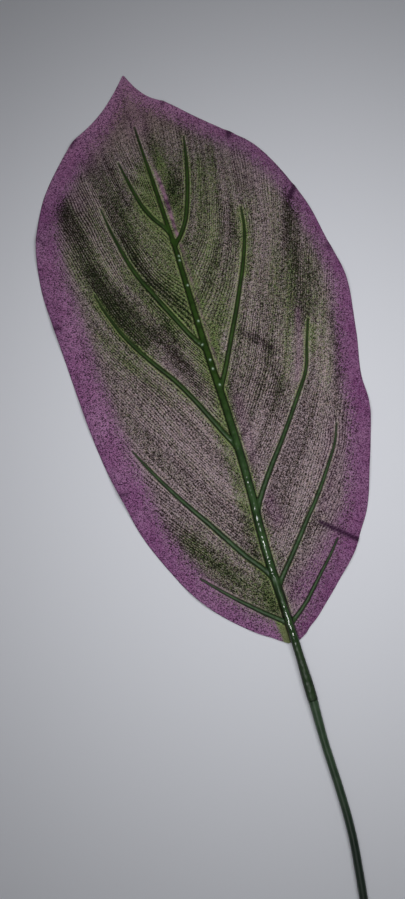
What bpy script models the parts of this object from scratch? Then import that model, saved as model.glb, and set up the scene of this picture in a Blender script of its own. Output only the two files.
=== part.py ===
"""An artificial cordyline leaf that lies on a surface with its ribbed side up.

It has four pieces: the cut cloth blade, the moulded plastic ribs with their hollow stalk,
the plastic stem that plugs into the stalk, and the steel wire inside the stem.

The frame: +Y runs along the leaf from stalk to tip, +X to the right as one looks down on the ribs,
+Z up. The origin is on the underside of the blade, below the midrib, where the stalk leaves the blade.
"""

import math

import bmesh
import bpy
import numpy as np

MM = 0.001
GAP = 0.3 * MM  # between pieces that touch on the real leaf
WELD_DISTANCE = 0.001 * MM

# Blade: the cloth and its outline, as (distance along the leaf, distance from the axis) in millimetres
BLADE_THICKNESS = 0.8 * MM
BLADE_BASE = -3.0
BLADE_TIP = 357.5
LEFT_EDGE = [
    (BLADE_BASE, -4), (-1, -7.1), (2, -11.5), (5, -16.4), (11, -24.2), (20, -34.1), (35, -46.2), (50, -54.4),
    (75, -65), (92, -69), (110, -73.4), (160, -79.6), (205, -83.2), (230, -85), (250, -83.1), (270, -78),
    (290, -69.3), (310, -53.9), (321, -42.7), (330, -29.2), (336, -21.3), (345, -12.2), (BLADE_TIP, -1.8),
]
RIGHT_EDGE = [
    (BLADE_BASE, 2), (-1, 6), (2, 9.6), (5, 14), (11, 21), (20, 30.9), (35, 46), (42, 50.6), (50, 56.2),
    (75, 66.5), (90, 72.4), (110, 77.9), (125, 78.9), (150, 84.3), (185, 88.8), (205, 87), (230, 83.3),
    (250, 78.5), (270, 71), (290, 58.6), (310, 39.1), (330, 18.8), (336, 11.4), (345, 4.8), (BLADE_TIP, -0.9),
]
BLADE_COLUMNS = 20
BLADE_ROWS = 54
END_CROWDING = 0.6  # 0 spaces the rows evenly, 1 crowds them at the base and the tip

# Places where the edge lifts off the surface: (x, y, radius, height) in millimetres
EDGE_LIFTS = [
    (44, 26, 15, 1.6), (68, 72, 22, 2.2), (84, 104, 24, 3.0), (94, 186, 28, 3.6), (90, 236, 22, 2.4),
    (72, 287, 24, 2.6), (24, 338, 24, 1.8), (-52, 330, 28, 2.2), (-88, 262, 28, 2.8), (-90, 204, 26, 2.2),
    (-84, 148, 26, 1.8), (-78, 96, 26, 2.6), (-48, 26, 17, 1.6),
]

# Ribs: a flat-bottomed bar for each, as (x, y) from its root to its end, then both widths, in millimetres
RIB_SEAT = BLADE_THICKNESS + GAP
RIB_HEIGHT = 0.55  # of the rib's width
RIB_SHOULDER = 0.8  # below 1 fills out the arch of a rib's section
RIB_SECTION_CORNERS = 7
RIB_TAPER = 3  # the higher, the later a rib narrows
RIB_SPACING = 6.5 * MM
SIDE_RIB_RISE = 0.05 * MM  # lifts the side ribs' flat bottoms clear of the midrib's
MIDRIB = [
    (-0.3, -2), (-0.5, 15), (-1.1, 46), (-0.7, 60), (0.2, 78), (0.6, 95), (0.5, 118), (0.2, 135),
    (-0.5, 155), (-0.9, 175), (-1, 200), (-1.1, 228), (-1.3, 243),
]
MIDRIB_WIDTHS = (4.4, 2.4)
SIDE_RIBS = {
    "tip": ([(-1.2, 236), (-1.8, 257), (-2.2, 272), (-3.3, 301), (-3.8, 317)], (2.3, 0.8)),
    "left_1": ([(-0.3, 6), (-4, 9.5), (-12, 16), (-20, 22.3), (-30, 32), (-39.5, 41.5)], (2.5, 0.8)),
    "left_2": ([(-1, 30), (-4, 35), (-15, 49), (-28.8, 70), (-42.6, 93), (-57, 120)], (2.7, 0.8)),
    "left_3": ([(0, 106), (-5.5, 115.5), (-24.5, 154), (-45, 187.5), (-53, 207.5), (-56, 218)], (2.8, 0.8)),
    "left_4": ([(-0.7, 167), (-5, 176.5), (-15, 197.4), (-29, 227), (-35.3, 252), (-38, 271)], (2.8, 0.8)),
    "left_5": ([(-1.5, 242.5), (-8, 251.5), (-12.5, 260.5), (-16.5, 277), (-20.3, 298)], (2.3, 0.8)),
    "right_1": ([(0, 6.5), (4, 9.3), (11, 14), (20, 22), (30, 32.3), (38, 42)], (2.5, 0.8)),
    "right_2": ([(-0.5, 26), (4, 32), (10.7, 39.3), (24.6, 56.4), (38, 72.5), (57, 103)], (2.7, 0.8)),
    "right_3": ([(0.2, 68), (12.3, 86.5), (40, 121), (49.7, 136.6), (54.5, 151.5), (65.7, 181)], (2.9, 0.8)),
    "right_4": ([(0.2, 140), (4.9, 149.6), (27.6, 196), (37.2, 219), (42, 235), (43.7, 247)], (2.8, 0.8)),
    "right_5": ([(-1, 234), (3.5, 238.8), (7.2, 244), (13, 257.8), (18.6, 278), (23.4, 303)], (2.5, 0.8)),
}

# Stalk and stem: one centre line for the stalk, its socket, the stem and the wire, as (y, x, z)
CUT_END = -236.0
CENTRE_LINE = [
    (CUT_END, -22.5, 2.15), (-210, -18, 2.15), (-180, -12.9, 2.15), (-150, -8, 2.15), (-126, -4.3, 2.15),
    (-114, -2.6, 2.15), (-102, -1.1, 2.15), (-90, -0.35, 2.15), (-78, -0.25, 2.15), (-54, -0.7, 2.3),
    (-33, -0.25, 2.8), (-14, -0.2, 3.25), (0, -0.3, 3.6), (24, -0.6, 2.9), (48, -1.1, 2.0),
]
CENTRE_SPACING = 5.0
END_CLEARANCE = 0.2  # of the spacing, between an end of a piece and the next point of its line
CUTTER_OVERRUN = 2.0  # how far a cutter runs past the face that it opens
STALK_MOUTH = -33.0  # y of the stalk's open end
STALK_END = 40.0  # y at which the stalk has sunk into the midrib
STALK_RADII = [
    (STALK_MOUTH, 2.7), (-24, 2.65), (-18, 2.45), (-12, 2.25), (0, 2.2), (20, 1.6), (STALK_END, 0.8),
]
SOCKET_DEPTH = 16.0
SOCKET_RADIUS = 1.8 * MM
PEG_SHOULDER = STALK_MOUTH - GAP / MM  # y of the stem's step down to its peg
PEG_STEP = 0.1  # length of that step
PEG_LENGTH = 15.0
PEG_RADIUS = 1.45 * MM
STEM_RADIUS = 2.1 * MM
STEM_TOP_RADIUS = 2.25 * MM
STEM_TOP_TAPER = -60.0  # y at which the stem reaches its plain radius
STEM_BORE_RADIUS = 1.0 * MM
WIRE_RADIUS = 0.7 * MM
WIRE_SHORTFALL = 1.0  # how far inside the peg the wire ends

CLOTH_COLOUR = (0.17, 0.08, 0.15, 1)
RIB_COLOUR = (0.02, 0.07, 0.02, 1)
STEM_COLOUR = (0.02, 0.055, 0.022, 1)
WIRE_COLOUR = (0.42, 0.41, 0.40, 1)


def clear_scene():
    """Remove what the scene holds, so that the script can be run again."""
    for thing in list(bpy.data.objects):
        bpy.data.objects.remove(thing, do_unlink=True)


def new_collection(name):
    """Make a collection under the scene's own."""
    group = bpy.data.collections.new(name)
    bpy.context.scene.collection.children.link(group)
    return group


def new_material(name, colour, roughness, metallic=0.0):
    """Make a plain Principled material."""
    material = bpy.data.materials.new(name)
    material.use_nodes = True
    shader = material.node_tree.nodes["Principled BSDF"]
    shader.inputs["Base Color"].default_value = colour
    shader.inputs["Roughness"].default_value = roughness
    shader.inputs["Metallic"].default_value = metallic
    return material


def smooth_value(knots, at):
    """Read the smooth curve through (place, value) knots at one place or an array of them."""
    place, value = np.array(knots, dtype=float).T
    slope = np.gradient(value, place)
    i = np.clip(np.searchsorted(place, at, side="right") - 1, 0, len(place) - 2)
    span = place[i + 1] - place[i]
    t = (at - place[i]) / span
    start = (1 + 2 * t) * (1 - t) ** 2 * value[i] + t * (1 - t) ** 2 * span * slope[i]
    end = t**2 * (3 - 2 * t) * value[i + 1] + t**2 * (t - 1) * span * slope[i + 1]
    return start + end


def smooth_path(bends, spacing):
    """Return evenly spaced points, in metres, on the smooth curve through bends in millimetres."""
    bends = np.array(bends, dtype=float) * MM
    run = np.concatenate([[0], np.cumsum(np.linalg.norm(np.diff(bends, axis=0), axis=1))])
    steps = np.linspace(0, run[-1], max(3, round(run[-1] / spacing) + 1))
    return np.array([smooth_value(list(zip(run, axis)), steps) for axis in bends.T]).T


def place_object(name, mesh, group, material):
    """Put a mesh in a collection as a named object with its material."""
    item = bpy.data.objects.new(name, mesh)
    mesh.materials.append(material)
    group.objects.link(item)
    return item


def bar_mesh(name, points, radii, section=None):
    """Sweep a twelve-sided bar, or a bar with the given section, along points and return it as a welded mesh.

    The sweep is 1 m in radius, or has a section 1 m wide, and each point's radius scales it.
    """
    curve = bpy.data.curves.new(name, "CURVE")
    curve.dimensions = "3D"
    curve.twist_mode = "Z_UP"
    curve.use_fill_caps = True
    if section:
        curve.bevel_mode = "OBJECT"
        curve.bevel_object = section
    else:
        curve.bevel_depth = 1.0
        curve.bevel_resolution = 4
    spline = curve.splines.new("POLY")
    spline.points.add(len(points) - 1)
    for knot, place, radius in zip(spline.points, points, radii):
        knot.co = (*place, 1)
        knot.radius = radius
    sweep = bpy.data.objects.new(name, curve)
    bpy.context.scene.collection.objects.link(sweep)
    graph = bpy.context.evaluated_depsgraph_get()
    mesh = bpy.data.meshes.new_from_object(sweep.evaluated_get(graph))
    bpy.data.objects.remove(sweep, do_unlink=True)
    shape = bmesh.new()
    shape.from_mesh(mesh)
    bmesh.ops.remove_doubles(shape, verts=shape.verts, dist=WELD_DISTANCE)
    bmesh.ops.recalc_face_normals(shape, faces=shape.faces)
    shape.to_mesh(mesh)
    shape.free()
    return mesh


def add_boolean(item, operation, cutter=None, collection=None):
    """Add an exact Boolean to an object, with one cutter or a whole collection."""
    step = item.modifiers.new(operation.lower(), "BOOLEAN")
    step.operation = operation
    step.solver = "EXACT"
    if collection:
        step.operand_type = "COLLECTION"
        step.collection = collection
    else:
        step.object = cutter


def add_cutter(name, mesh, group):
    """Put a cutter in its collection, hidden from renders and drawn as wires."""
    cutter = bpy.data.objects.new(name, mesh)
    cutter.hide_render = True
    cutter.display_type = "WIRE"
    group.objects.link(cutter)
    return cutter


def round_shading(mesh):
    """Shade a round piece smooth and keep its real corners sharp."""
    mesh.shade_smooth()
    mesh.set_sharp_from_angle(angle=math.radians(40))


def lift(x, y):
    """Height of the underside above the surface at a place in millimetres."""
    height = 0.0
    for lift_x, lift_y, radius, rise in EDGE_LIFTS:
        reach = min(1.0, math.hypot(x - lift_x, y - lift_y) / radius)
        height += rise * math.cos(reach * math.pi / 2) ** 2
    return height


def make_blade(group):
    """The cloth blade: a grid pulled to the leaf's outline, lifted at its edges, then given its thickness."""
    shape = bmesh.new()
    bmesh.ops.create_grid(shape, x_segments=BLADE_COLUMNS, y_segments=BLADE_ROWS, size=1.0)
    for vertex in shape.verts:
        across, along = (vertex.co.x + 1) / 2, (vertex.co.y + 1) / 2
        crowded = 0.5 - 0.5 * math.cos(math.pi * along)
        share = (1 - END_CROWDING) * along + END_CROWDING * crowded
        y = BLADE_BASE + share * (BLADE_TIP - BLADE_BASE)
        left, right = smooth_value(LEFT_EDGE, y), smooth_value(RIGHT_EDGE, y)
        x = left + across * (right - left)
        vertex.co = (x * MM, y * MM, lift(x, y) * MM)
    bmesh.ops.triangulate(shape, faces=shape.faces)
    mesh = bpy.data.meshes.new("blade")
    shape.to_mesh(mesh)
    shape.free()
    mesh.shade_smooth()
    blade = place_object("blade", mesh, group, new_material("printed_cloth", CLOTH_COLOUR, 0.85))
    shell = blade.modifiers.new("thickness", "SOLIDIFY")
    shell.thickness = BLADE_THICKNESS
    shell.offset = 1.0
    return blade


def make_rib_section():
    """The ribs' section as a closed curve: flat below, arched above, 1 m wide."""
    section = bpy.data.curves.new("rib_section", "CURVE")
    section.dimensions = "2D"
    outline = section.splines.new("POLY")
    outline.points.add(RIB_SECTION_CORNERS - 1)
    outline.use_cyclic_u = True
    for k, knot in enumerate(outline.points):
        turn = math.pi * k / (RIB_SECTION_CORNERS - 1)
        height = RIB_HEIGHT * max(0.0, math.sin(turn)) ** RIB_SHOULDER
        knot.co = (0.5 * math.cos(turn), height, 0, 1)
    guide = bpy.data.objects.new("rib_section", section)
    bpy.context.scene.collection.objects.link(guide)
    return guide


def rib_mesh(name, bends, widths, seat, section):
    """One rib: a flat-bottomed bar that narrows from its root to its end."""
    points = smooth_path([(x, y, seat / MM) for x, y in bends], RIB_SPACING)
    narrowing = np.linspace(0, 1, len(points)) ** RIB_TAPER
    radii = (widths[0] + (widths[1] - widths[0]) * narrowing) * MM
    return bar_mesh(name, points, radii, section)


def centre_points(low, high):
    """Points of the common centre line, in metres, from one place along the leaf to another."""
    first = math.ceil(low / CENTRE_SPACING + END_CLEARANCE)
    last = math.floor(high / CENTRE_SPACING - END_CLEARANCE)
    along = np.array([low, *np.arange(first, last + 1) * CENTRE_SPACING, high])
    x = smooth_value([(knot_y, knot_x) for knot_y, knot_x, _ in CENTRE_LINE], along)
    z = smooth_value([(knot_y, knot_z) for knot_y, _, knot_z in CENTRE_LINE], along)
    return np.column_stack([x, along, z]) * MM


def make_ribs(group, cutters):
    """The moulded skeleton: midrib, side ribs and hollow stalk, joined into one piece."""
    section = make_rib_section()
    rib_group = new_collection("rib_pieces")
    plastic = new_material("rib_plastic", RIB_COLOUR, 0.25)
    midrib = rib_mesh("midrib", MIDRIB, MIDRIB_WIDTHS, RIB_SEAT, section)
    ribs = place_object("rib_frame", midrib, group, plastic)
    for name, (bends, widths) in SIDE_RIBS.items():
        side_rib = rib_mesh(name, bends, widths, RIB_SEAT + SIDE_RIB_RISE, section)
        rib_group.objects.link(bpy.data.objects.new(name, side_rib))
    line = centre_points(STALK_MOUTH, STALK_END)
    stalk = bar_mesh("stalk", line, smooth_value(STALK_RADII, line[:, 1] / MM) * MM)
    rib_group.objects.link(bpy.data.objects.new("stalk", stalk))
    add_boolean(ribs, "UNION", collection=rib_group)
    graph = bpy.context.evaluated_depsgraph_get()
    joined = bpy.data.meshes.new_from_object(ribs.evaluated_get(graph))
    ribs.modifiers.clear()
    ribs.data = joined
    for piece in list(rib_group.objects) + [section]:
        bpy.data.objects.remove(piece, do_unlink=True)
    bpy.data.collections.remove(rib_group)
    reach = centre_points(STALK_MOUTH - CUTTER_OVERRUN, STALK_MOUTH + SOCKET_DEPTH)
    socket = bar_mesh("socket", reach, [SOCKET_RADIUS] * len(reach))
    add_boolean(ribs, "DIFFERENCE", cutter=add_cutter("socket", socket, cutters))
    round_shading(ribs.data)
    return ribs


def make_stem(group, cutters):
    """The stem: a plastic tube with a peg at its top that plugs into the stalk."""
    tube = centre_points(CUT_END, PEG_SHOULDER)
    peg = centre_points(PEG_SHOULDER + PEG_STEP, PEG_SHOULDER + PEG_LENGTH)
    points = np.vstack([tube, peg])
    swell = np.clip((tube[:, 1] / MM - STEM_TOP_TAPER) / (PEG_SHOULDER - STEM_TOP_TAPER), 0, 1)
    tube_radii = STEM_RADIUS + (STEM_TOP_RADIUS - STEM_RADIUS) * swell
    radii = [*tube_radii, *[PEG_RADIUS] * len(peg)]
    plastic = new_material("stem_plastic", STEM_COLOUR, 0.45)
    stem = place_object("stem", bar_mesh("stem", points, radii), group, plastic)
    line = centre_points(CUT_END - CUTTER_OVERRUN, PEG_SHOULDER + PEG_LENGTH + CUTTER_OVERRUN)
    bore = bar_mesh("stem_bore", line, [STEM_BORE_RADIUS] * len(line))
    add_boolean(stem, "DIFFERENCE", cutter=add_cutter("stem_bore", bore, cutters))
    round_shading(stem.data)
    return stem


def make_wire(group):
    """The bendable wire in the stem's bore, flush with the stem at the cut end."""
    line = centre_points(CUT_END, PEG_SHOULDER + PEG_LENGTH - WIRE_SHORTFALL)
    steel = new_material("wire_steel", WIRE_COLOUR, 0.4, metallic=1.0)
    wire = place_object("stem_wire", bar_mesh("stem_wire", line, [WIRE_RADIUS] * len(line)), group, steel)
    round_shading(wire.data)
    return wire


def main():
    clear_scene()
    leaf = new_collection("cordyline_leaf")
    cutters = new_collection("cutters")
    make_blade(leaf)
    make_ribs(leaf, cutters)
    make_stem(leaf, cutters)
    make_wire(leaf)


main()
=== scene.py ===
# %% [markdown]
# # An artificial cordyline leaf
# The leaf lies with its back up. A cut blade of printed cloth carries a moulded skeleton of green plastic,
# whose hollow stalk takes a plastic stem with a bendable wire inside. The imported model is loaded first,
# because every piece below is built in its frame: +Y runs to the tip, +Z is up, and the origin is where the
# stalk leaves the blade.

import math

import bmesh
import bpy
import numpy as np
from mathutils import Matrix, Vector, noise


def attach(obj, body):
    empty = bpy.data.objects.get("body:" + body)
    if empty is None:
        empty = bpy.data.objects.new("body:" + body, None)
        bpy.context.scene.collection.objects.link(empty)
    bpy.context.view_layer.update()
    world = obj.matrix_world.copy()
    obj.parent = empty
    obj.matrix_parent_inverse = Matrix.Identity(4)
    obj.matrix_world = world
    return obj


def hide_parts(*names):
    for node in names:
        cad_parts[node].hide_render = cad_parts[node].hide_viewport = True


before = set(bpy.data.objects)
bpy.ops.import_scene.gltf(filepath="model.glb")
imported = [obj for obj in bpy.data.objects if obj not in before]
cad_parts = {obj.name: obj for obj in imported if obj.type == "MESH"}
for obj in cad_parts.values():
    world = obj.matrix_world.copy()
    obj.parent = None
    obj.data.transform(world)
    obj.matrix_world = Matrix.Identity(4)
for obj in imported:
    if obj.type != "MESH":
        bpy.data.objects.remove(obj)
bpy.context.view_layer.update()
MM = 0.001
print("nodes:", sorted(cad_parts))

# %% [markdown]
# ## The camera
# A camera is its place, its three axes and its lens. It could be aimed by hand, but a measured view is
# exact: it looks almost straight down from 37 cm, turned so that the leaf leans to the left. The lens
# follows from the picture's long side, which is the sensor's 36 mm.

# %% Make the camera
PICTURE_LONG_SIDE = 899
FOCAL_LENGTH_IN_PIXELS = 675
CAMERA_PLACE = (-0.01699, 0.03182, 0.37085)
view_right = Vector((0.96014, -0.27246, -0.06239))
view_up = Vector((0.27947, 0.93980, 0.19667))
view_back = Vector((0.00505, -0.20626, 0.97848))
axes = Matrix((view_right, view_up, view_back)).transposed()

camera_data = bpy.data.cameras.new("camera")
camera_data.sensor_width = 36
camera_data.lens = camera_data.sensor_width * FOCAL_LENGTH_IN_PIXELS / PICTURE_LONG_SIDE
camera_data.clip_start = 0.01
camera = bpy.data.objects.new("camera", camera_data)
camera.matrix_world = Matrix.Translation(CAMERA_PLACE) @ axes.to_4x4()
bpy.context.scene.collection.objects.link(camera)
bpy.context.scene.camera = camera
print("lens:", round(camera_data.lens, 2), "mm")

# %% [markdown]
# ## The floor
# The leaf lies on one plain pale sheet, far wider than the picture, so that no edge of it shows. Paper is
# matt, so its finish needs only a colour and a high roughness. The helper that makes it starts every finish
# below.

# %% Make the floor
FLOOR_REACH, FLOOR_DROP = 3.0, 0.05 * MM  # half its side, and how far it is below the leaf
PAPER_COLOUR = (0.785, 0.80, 0.855, 1)


def new_finish(name, roughness):
    """A Principled material with nothing set but its roughness, and its shader node."""
    material = bpy.data.materials.new(name)
    material.use_nodes = True
    shader = material.node_tree.nodes["Principled BSDF"]
    shader.inputs["Roughness"].default_value = roughness
    return material, shader


floor_mesh = bpy.data.meshes.new("floor")
signs = ((-1, -1), (1, -1), (1, 1), (-1, 1))
floor_corners = [(x * FLOOR_REACH, y * FLOOR_REACH, -FLOOR_DROP) for x, y in signs]
floor_mesh.from_pydata(floor_corners, [], [(0, 1, 2, 3)])
floor = bpy.data.objects.new("floor", floor_mesh)
bpy.context.scene.collection.objects.link(floor)
paper, paper_shader = new_finish("pale_paper", 0.9)
paper_shader.inputs["Base Color"].default_value = PAPER_COLOUR
floor_mesh.materials.append(paper)
print("floor:", 2 * FLOOR_REACH, "m wide")

# %% [markdown]
# ## The lamps
# A large lamp 30 cm above the blade, a little to the right of its midrib, lights it softly and falls off
# towards the corners. Shiny plastic doesn't show such light as a line, so two narrow lamps are mirrored in
# it. They add no soft light, only gloss, and draw the thin bright lines along the midrib and the stem.

# %% Make the lamps
def add_lamp(name, place, target, width, length, power):
    """A soft white lamp that points at a target and isn't itself seen."""
    data = bpy.data.lights.new(name, "AREA")
    data.shape, data.size, data.size_y, data.energy = "RECTANGLE", width, length, power
    lamp = bpy.data.objects.new(name, data)
    lamp.location = place
    lamp.rotation_mode = "QUATERNION"
    lamp.rotation_quaternion = (Vector(place) - Vector(target)).to_track_quat("Z", "Y")
    lamp.visible_camera = False
    bpy.context.scene.collection.objects.link(lamp)
    return lamp


overhead_lamp = add_lamp("overhead_lamp", (0.04, 0.10, 0.30), (0.04, 0.10, 0), 0.30, 0.30, 0.84)
overhead_lamp.visible_glossy = False
midrib_gloss = add_lamp("midrib_gloss", (-0.10, 0.04, 0.50), (0, 0.04, 0), 0.03, 0.18, 1.0)
stem_gloss = add_lamp("stem_gloss", (-0.10, -0.24, 0.50), (0, -0.08, 0), 0.02, 0.20, 0.14)
for gloss_lamp in (midrib_gloss, stem_gloss):
    gloss_lamp.visible_diffuse = False

# %% [markdown]
# ## Light from all round
# In a real room the walls send some light back, so no shadow is black. A second large lamp would add
# shadows of its own. A dim grey world, which shines evenly from everywhere, doesn't.

# %% Fill the shadows
WORLD_COLOUR, WORLD_STRENGTH = (0.80, 0.81, 0.84, 1), 0.08
world = bpy.data.worlds.new("studio")
world.use_nodes = True
world.node_tree.nodes["Background"].inputs["Color"].default_value = WORLD_COLOUR
world.node_tree.nodes["Background"].inputs["Strength"].default_value = WORLD_STRENGTH
bpy.context.scene.world = world
bpy.context.scene.view_settings.view_transform = "Standard"
print("world strength:", WORLD_STRENGTH)

# %% [markdown]
# ## The blade's outline
# The real blade is cut out with a hot die, so its edge is one smooth curve. Each side is a short list of
# measured places, as (how far along, how far across) in millimetres, read as a smooth curve. The two lists
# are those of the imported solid, so the cloth covers it exactly.

# %% Outline
BLADE_BASE, BLADE_TIP = -3.0, 357.5
LEFT_EDGE = [
    (BLADE_BASE, -4), (-1, -7.1), (2, -11.5), (5, -16.4), (11, -24.2), (20, -34.1), (35, -46.2), (50, -54.4),
    (75, -65), (92, -69), (110, -73.4), (160, -79.6), (205, -83.2), (230, -85), (250, -83.1), (270, -78),
    (290, -69.3), (310, -53.9), (321, -42.7), (330, -29.2), (336, -21.3), (345, -12.2), (BLADE_TIP, -1.8),
]
RIGHT_EDGE = [
    (BLADE_BASE, 2), (-1, 6), (2, 9.6), (5, 14), (11, 21), (20, 30.9), (35, 46), (42, 50.6), (50, 56.2),
    (75, 66.5), (90, 72.4), (110, 77.9), (125, 78.9), (150, 84.3), (185, 88.8), (205, 87), (230, 83.3),
    (250, 78.5), (270, 71), (290, 58.6), (310, 39.1), (330, 18.8), (336, 11.4), (345, 4.8), (BLADE_TIP, -0.9),
]


def smooth_value(knots, at):
    """Read the smooth curve through (place, value) knots at one place or an array of them."""
    place, value = np.array(knots, dtype=float).T
    slope = np.gradient(value, place)
    i = np.clip(np.searchsorted(place, at, side="right") - 1, 0, len(place) - 2)
    span = place[i + 1] - place[i]
    t = (at - place[i]) / span
    start = (1 + 2 * t) * (1 - t) ** 2 * value[i] + t * (1 - t) ** 2 * span * slope[i]
    end = t**2 * (3 - 2 * t) * value[i + 1] + t**2 * (t - 1) * span * slope[i + 1]
    return start + end


print("blade at its middle:", smooth_value(LEFT_EDGE, 180.0), "to", smooth_value(RIGHT_EDGE, 180.0), "mm")

# %% [markdown]
# ## The ribs' lines
# On the leaf one midrib carries five ribs on each side and a short one that goes on to the tip. Each is a
# list of bends, (across, along) in millimetres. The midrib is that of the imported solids. The side ribs
# follow the same ways with more bends, and are drawn a little thinner, as the real ones are.

# %% Ribs
MIDRIB = [
    (-0.3, -2), (-0.5, 15), (-1.1, 46), (-0.7, 60), (0.2, 78), (0.6, 95), (0.5, 118), (0.2, 135),
    (-0.5, 155), (-0.9, 175), (-1, 200), (-1.1, 228), (-1.3, 243),
]
MIDRIB_WIDTHS = (4.4, 2.4, 3)
SIDE_RIBS = {  # bends; width at the root and the end, and how late it narrows
    "tip": ([(-1.2, 236), (-1.8, 257), (-2.2, 272), (-3.3, 301), (-3.8, 319)], (2.3, 0.7, 2)),
    "left_1": ([(-0.3, 6), (-3.1, 8.5), (-10.7, 14.6), (-18.2, 21.1), (-25.5, 27.7), (-32.5, 34.6),
                (-39.4, 41.6)], (2.1, 0.6, 2)),
    "left_2": ([(-1, 30), (-4.7, 36.5), (-12.3, 46.3), (-19, 56.5), (-25.6, 66.9), (-32.5, 77.2),
                (-39.2, 87.6), (-45.5, 98.1), (-51.5, 108.9), (-57.1, 120)], (2.4, 0.6, 4)),
    "left_3": ([(0, 106), (-4, 113.8), (-10.1, 127.1), (-16.3, 140.3), (-23.3, 153.2), (-31.5, 165.3),
                (-39.3, 177.7), (-45.9, 190.6), (-51.1, 204.3), (-55.2, 218.2)], (2.5, 0.6, 3)),
    "left_4": ([(-1.1, 166.8), (-5.4, 173.4), (-11.1, 185), (-16.5, 196.8), (-21.8, 208.6), (-27, 220.5),
                (-30.8, 232.9), (-33.6, 245.5), (-36, 258.2), (-37.7, 271)], (2.5, 0.6, 3)),
    "left_5": ([(-1.3, 242.7), (-3.3, 246.4), (-9, 255.6), (-13.1, 265.6), (-15.7, 276.4), (-17.7, 287.2),
                (-19.5, 298.1)], (2.1, 0.6, 3)),
    "right_1": ([(0.1, 6.3), (3.2, 8.3), (10.9, 14.2), (17.8, 21), (24.6, 28), (31.4, 34.9),
                 (37.8, 42.2)], (2.0, 0.7, 1.2)),
    "right_2": ([(-0.5, 26), (3.7, 31.2), (11.1, 39.6), (18.4, 48.2), (25.5, 56.8), (32.9, 65.2),
                 (39.8, 74.1), (46.3, 83.2), (52.5, 92.6), (57.1, 103)], (2.3, 0.6, 2)),
    "right_3": ([(0.2, 68), (5.1, 75.8), (14, 88.3), (23.5, 100.3), (32.8, 112.6), (41.7, 125),
                 (50.2, 137.7), (55.3, 152.2), (60.5, 166.6)], (2.5, 0.75, 1.7)),
    "right_4": ([(0.2, 140), (4.3, 147), (10.5, 159), (16.4, 171.2), (22.4, 183.3), (28, 195.6),
                 (33.5, 207.9), (38.3, 220.6), (42.1, 233.6), (44, 247)], (2.4, 0.6, 3)),
    "right_5": ([(-1, 234), (2.7, 237.7), (9.2, 247.2), (13.4, 258), (16.8, 269), (19.6, 280.3),
                 (21.9, 291.6), (23.8, 302.9)], (2.1, 0.6, 4)),
}
print("ribs besides the midrib:", len(SIDE_RIBS))

# %% [markdown]
# ## Smooth lines through the bends
# A moulded rib bends softly and narrows from its root to its end. Straight stretches from bend to bend
# would show as corners, so each list is read as a smooth curve, with a place every 1.5 mm. The width goes
# from the root's to the end's, and a larger third number makes it narrow later.

# %% Smooth lines
def smooth_line(bends, spacing=1.5):
    """Evenly spaced points on the smooth curve through bends, in millimetres."""
    bends = np.array(bends, dtype=float)
    run = np.concatenate([[0], np.cumsum(np.linalg.norm(np.diff(bends, axis=0), axis=1))])
    steps = np.linspace(0, run[-1], max(3, round(run[-1] / spacing) + 1))
    return np.array([smooth_value(list(zip(run, axis)), steps) for axis in bends.T]).T


def rib_line(bends, narrowing):
    """A rib's smooth line and its width at each point of it."""
    root, end, lateness = narrowing
    line = smooth_line(bends)
    return line, root + (end - root) * np.linspace(0, 1, len(line)) ** lateness


rib_lines = {"midrib": rib_line(MIDRIB, MIDRIB_WIDTHS)}
rib_lines.update({name: rib_line(*facts) for name, facts in SIDE_RIBS.items()})
print("ribs:", {name: f"{len(line)} points" for name, (line, _) in rib_lines.items()})

# %% [markdown]
# ## The cloth blade
# A thin synthetic cloth. It could be drawn as a flat polygon, but cloth is never quite flat: it lifts at
# its waved edge, rises to the ribs that are bonded to it, and has a few creases. So the blade starts as a
# fine grid, each row stretched from the left edge to the right one, that can be raised vertex by vertex.

# %% Places of the grid
CLOTH_COLUMNS, CLOTH_ROWS = 144, 300
END_CROWDING = 0.6  # 0 spaces the rows evenly, 1 crowds them at the base and the tip
across, along = np.meshgrid(np.linspace(0, 1, CLOTH_COLUMNS + 1), np.linspace(0, 1, CLOTH_ROWS + 1))
across, along = across.ravel(), along.ravel()
row_share = (1 - END_CROWDING) * along + END_CROWDING * (0.5 - 0.5 * np.cos(np.pi * along))
y = BLADE_BASE + row_share * (BLADE_TIP - BLADE_BASE)
x = smooth_value(LEFT_EDGE, y) * (1 - across) + smooth_value(RIGHT_EDGE, y) * across
places = np.column_stack([x, y])
print("cloth grid:", len(places), "vertices")

# %% [markdown]
# ## Distances on the cloth
# Most forms and most inks of the leaf depend on how far a spot is from a rib or from the edge. A distance
# texture would be too coarse for that, so the distance from every vertex is worked out to each stretch of a
# line, and the smallest is kept. The side of the line that it is on comes along for free.

# %% Distance to a line
OUTLINE_STEPS = 240


def distance_to_line(places, line, widths=None):
    """Distance from places to a line of points, less half its width there, and the side they are on."""
    best = np.full(len(places), np.inf)
    side = np.zeros(len(places))
    for k in range(len(line) - 1):
        step = line[k + 1] - line[k]
        offset = places - line[k]
        share = np.clip(offset @ step / (step @ step), 0, 1)
        gap = np.linalg.norm(offset - share[:, None] * step, axis=1)
        if widths is not None:
            gap = gap - 0.5 * (widths[k] + (widths[k + 1] - widths[k]) * share)
        nearer = gap < best
        best = np.where(nearer, gap, best)
        side = np.where(nearer, np.sign(step[0] * offset[:, 1] - step[1] * offset[:, 0]), side)
    return best, side


heights_along = np.linspace(BLADE_BASE, BLADE_TIP, OUTLINE_STEPS)
outline = np.vstack([[(smooth_value(edge, h), h) for h in heights_along[::turn]]
                     for edge, turn in ((LEFT_EDGE, 1), (RIGHT_EDGE, -1))])
edge_gap, _ = distance_to_line(places, outline)
rib_gap = np.min([distance_to_line(places, *facts)[0] for facts in rib_lines.values()], axis=0)
print(f"farthest from the edge: {edge_gap.max():.0f} mm, from a rib: {rib_gap.max():.0f} mm")

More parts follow.
